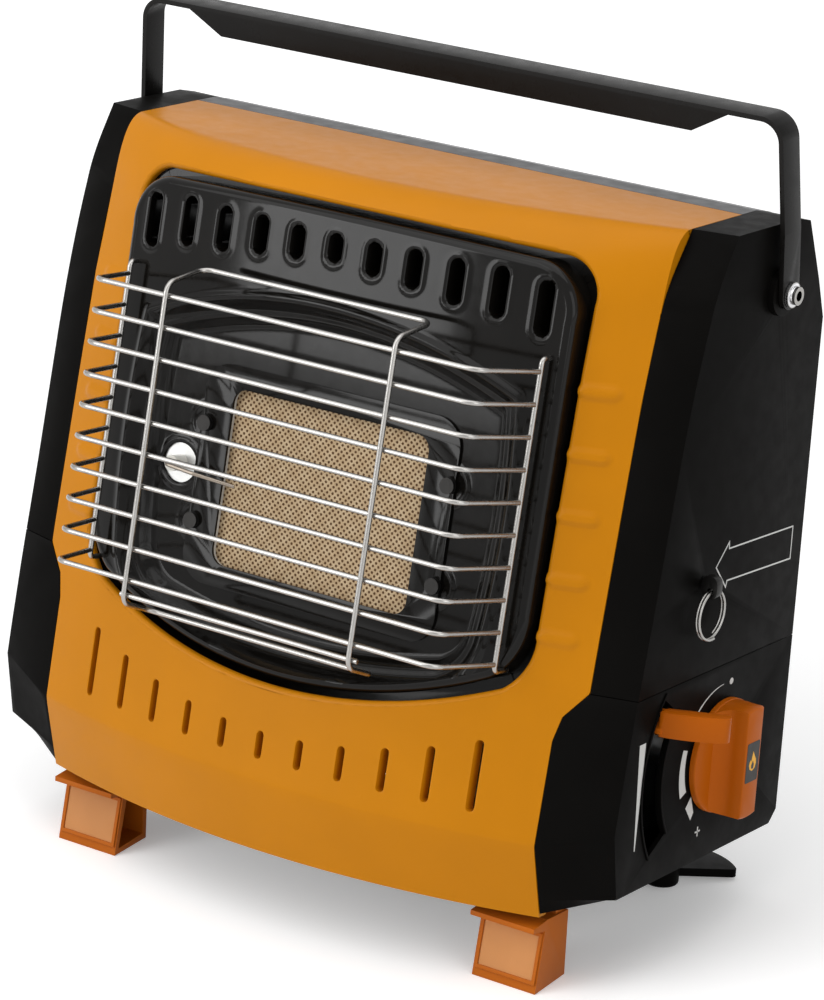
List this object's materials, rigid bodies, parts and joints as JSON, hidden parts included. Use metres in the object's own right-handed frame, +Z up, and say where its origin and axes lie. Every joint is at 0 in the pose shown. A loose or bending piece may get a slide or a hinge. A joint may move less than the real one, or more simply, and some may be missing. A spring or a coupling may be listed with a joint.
{
  "type": "portable propane heater",
  "caption": "Portable radiant gas heater with a ceramic burner behind a wire guard, a bowed orange front, a black case leaned back on folding feet, side controls, pull ring and bail handle.",
  "frame": {"origin": "middle of the footprint, on the surface the heater stands on", "axes": "+X towards the user's right when facing the burner, where the controls are, +Y towards the rear door, +Z up"},
  "size_m": [0.3309, 0.1856, 0.3299],
  "materials": {
    "orange_paint": "satin",
    "black_plastic": "fine grain",
    "black_sheet": "satin",
    "handle_paint": "satin",
    "black_enamel": "gloss",
    "plaque_ceramic": "unglazed",
    "insulator_ceramic": "gloss",
    "gasket_fibre": "matt",
    "zinc_steel": "zinc plated",
    "black_screws": "black oxide",
    "chrome_wire": "polished",
    "cast_aluminium": "as cast",
    "brass_fittings": "turned",
    "spark_alloy": "heat tinted",
    "lead_rubber": "matt",
    "igniter_plastic": "matt",
    "orange_plastic": "gloss",
    "foot_plastic": "gloss"
  },
  "bodies": {
    "case": {"back_shell": "black_sheet", "base_tray": "black_sheet", "burner_box": "zinc_steel", "burner_frame": "black_enamel", "burner_screws": "zinc_steel", "cartridge_cradle": "zinc_steel", "case_screws": "black_screws", "ceramic_plaque": "plaque_ceramic", "control_plate": "black_plastic", "door_hinge_brackets": "zinc_steel", "door_hinge_pins": "zinc_steel", "door_magnet": "igniter_plastic", "electrode_clip": "zinc_steel", "electrode_insulator": "insulator_ceramic", "electrode_wire": "spark_alloy", "foot_pins": "zinc_steel", "front_panel": "orange_paint", "gas_jet": "brass_fittings", "gas_pipe": "brass_fittings", "guard_front_frame": "chrome_wire", "guard_rows": "chrome_wire", "guard_uprights": "chrome_wire", "handle_nuts": "zinc_steel", "handle_screws": "chrome_wire", "heat_shield": "zinc_steel", "ignition_lead": "lead_rubber", "left_lower_cover": "black_plastic", "left_side_panel": "black_plastic", "mixer_tube": "cast_aluminium", "piezo_igniter": "igniter_plastic", "plaque_gasket": "gasket_fibre", "pusher_guides": "zinc_steel", "rear_foot_bolts": "black_screws", "reflector": "black_enamel", "regulator_body": "cast_aluminium", "right_side_panel": "black_plastic", "rod_bush": "black_plastic", "rod_spring": "zinc_steel"},
    "handle": {"handle_bail": "handle_paint"},
    "knob": {"control_knob": "orange_plastic", "valve_stem": "zinc_steel"},
    "lever": {"lock_lever": "orange_plastic"},
    "pusher": {"cartridge_pusher": "zinc_steel"},
    "pull_rod": {"pull_rod": "chrome_wire"},
    "pull_ring": {"pull_ring": "chrome_wire"},
    "door": {"cartridge_door": "black_sheet", "door_pull": "igniter_plastic"},
    "front_foot_left": {"front_foot_left": "foot_plastic"},
    "front_foot_right": {"front_foot_right": "foot_plastic"},
    "rear_foot_left": {"rear_foot_left": "black_plastic"},
    "rear_foot_right": {"rear_foot_right": "black_plastic"}
  },
  "joints": [
    {"name": "handle_swing", "type": "hinge", "parent": "case", "child": "handle", "pos_m": [-0.00745, 0.05785, 0.25991], "axis": [1, 0, 0], "range_deg": [-120, 45]},
    {"name": "knob_turn", "type": "hinge", "parent": "case", "child": "knob", "pos_m": [0.14155, 0.02288, 0.07927], "axis": [1, 0, 0], "range_deg": [0, 150]},
    {"name": "lever_swing", "type": "hinge", "parent": "case", "child": "lever", "pos_m": [0.12455, 0.02288, 0.07927], "axis": [1, 0, 0], "range_deg": [0, 47]},
    {"name": "pusher_slide", "type": "slide", "parent": "case", "child": "pusher", "axis": [1, 0, 0], "range_m": [0, 0.005]},
    {"name": "ring_pull", "type": "slide", "parent": "case", "child": "pull_rod", "axis": [1, 0, 0], "range_m": [0, 0.01], "stiffness_N_per_m": 300, "deforming": ["rod_spring"]},
    {"name": "ring_flip", "type": "hinge", "parent": "pull_rod", "child": "pull_ring", "pos_m": [0.14615, 0.00719, 0.15514], "axis": [0, -0.9931, 0.1175], "range_deg": [0, 100]},
    {"name": "door_swing", "type": "hinge", "parent": "case", "child": "door", "pos_m": [-0.00745, 0.07172, 0.03673], "axis": [-1, 0, 0], "range_deg": [0, 100]},
    {"name": "front_foot_left_fold", "type": "hinge", "parent": "case", "child": "front_foot_left", "pos_m": [-0.1112, -0.03818, 0.03564], "axis": [1, 0, 0], "range_deg": [0, 90]},
    {"name": "front_foot_right_fold", "type": "hinge", "parent": "case", "child": "front_foot_right", "pos_m": [0.0963, -0.03818, 0.03564], "axis": [1, 0, 0], "range_deg": [0, 90]},
    {"name": "rear_foot_left_swivel", "type": "hinge", "parent": "case", "child": "rear_foot_left", "pos_m": [-0.11595, 0.05176, 0.03406], "axis": [0, -0.1175, -0.9931], "range_deg": [0, 180]},
    {"name": "rear_foot_right_swivel", "type": "hinge", "parent": "case", "child": "rear_foot_right", "pos_m": [0.10105, 0.05176, 0.03406], "axis": [0, 0.1175, 0.9931], "range_deg": [0, 180]}
  ],
  "couplings": [
    {"joint": "lever_swing", "follows": "pusher_slide", "rad_per_m": 164.06}
  ]
}
